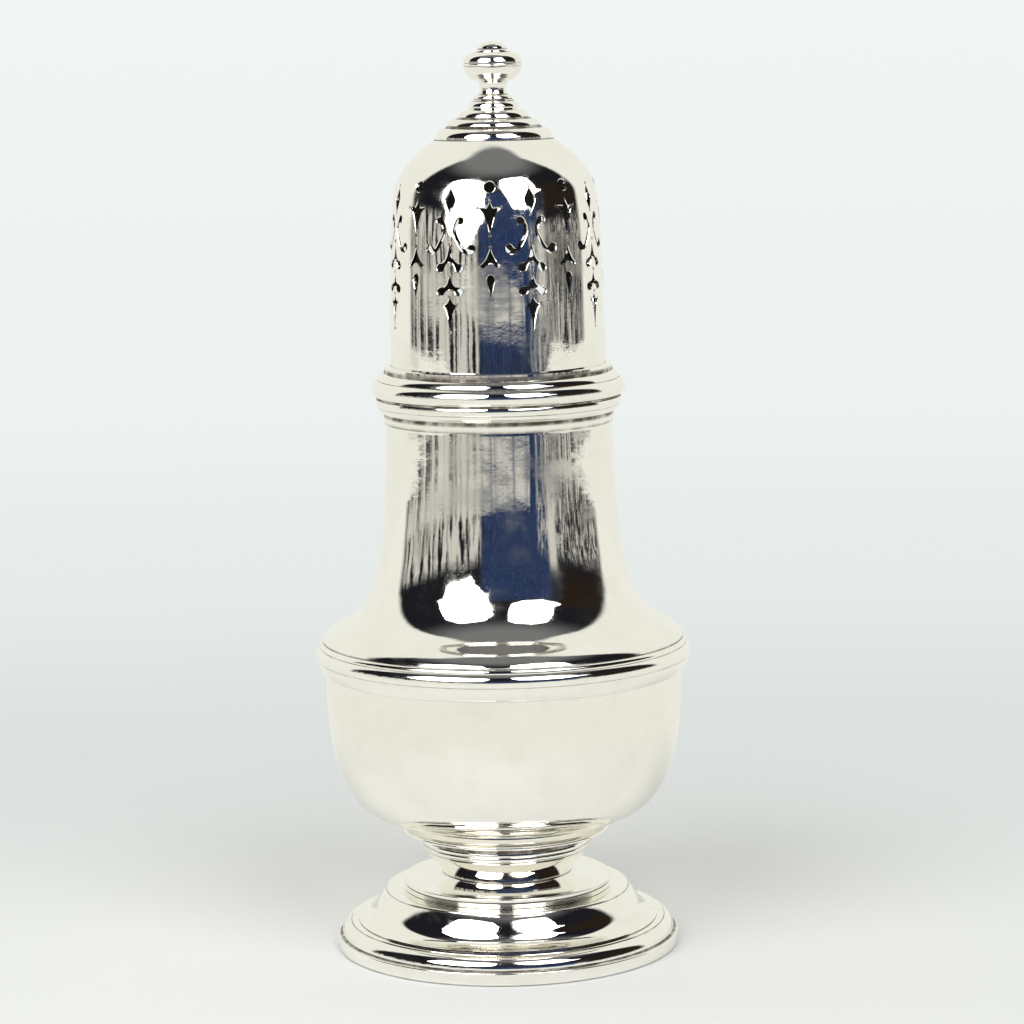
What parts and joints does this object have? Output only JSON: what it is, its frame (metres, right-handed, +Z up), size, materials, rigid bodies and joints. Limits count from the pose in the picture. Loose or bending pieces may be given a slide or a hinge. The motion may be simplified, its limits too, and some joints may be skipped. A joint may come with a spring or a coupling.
{
  "type": "sugar caster",
  "caption": "Silver sugar caster: a baluster body with a reeded girdle on a stepped round foot, and a lift-off pierced domed cover with a turned finial.",
  "frame": {"origin": "centre of the foot on the surface that the caster stands on", "axes": "+Z up along the axis that every piece is turned about; the front is towards -Y"},
  "size_m": [0.0786, 0.0786, 0.1901],
  "materials": {
    "silver_foot": "polished sterling silver with a little tarnish in the creases",
    "silver_body": "polished sterling silver with faint wear and a little tarnish",
    "silver_cover": "polished sterling silver, pierced and bright cut",
    "silver_finial": "polished turned sterling silver"
  },
  "bodies": {
    "caster_body": {"foot_rim": "silver_foot", "foot_dome": "silver_foot", "foot_reed": "silver_foot", "foot_knop": "silver_foot", "foot_stem": "silver_foot", "foot_collar": "silver_foot", "lower_bowl": "silver_body", "girdle_moulding": "silver_body", "upper_body": "silver_body", "mouth_moulding": "silver_body"},
    "cover": {"cover_bezel": "silver_cover", "cover_rim": "silver_cover", "cover_dome": "silver_cover", "finial_base": "silver_finial", "finial_stem": "silver_finial", "finial_knob": "silver_finial"}
  },
  "joints": [
    {"name": "cover_lift", "type": "slide", "parent": "caster_body", "child": "cover", "axis": [0, 0, 1], "range_m": [0, 0.045]}
  ]
}
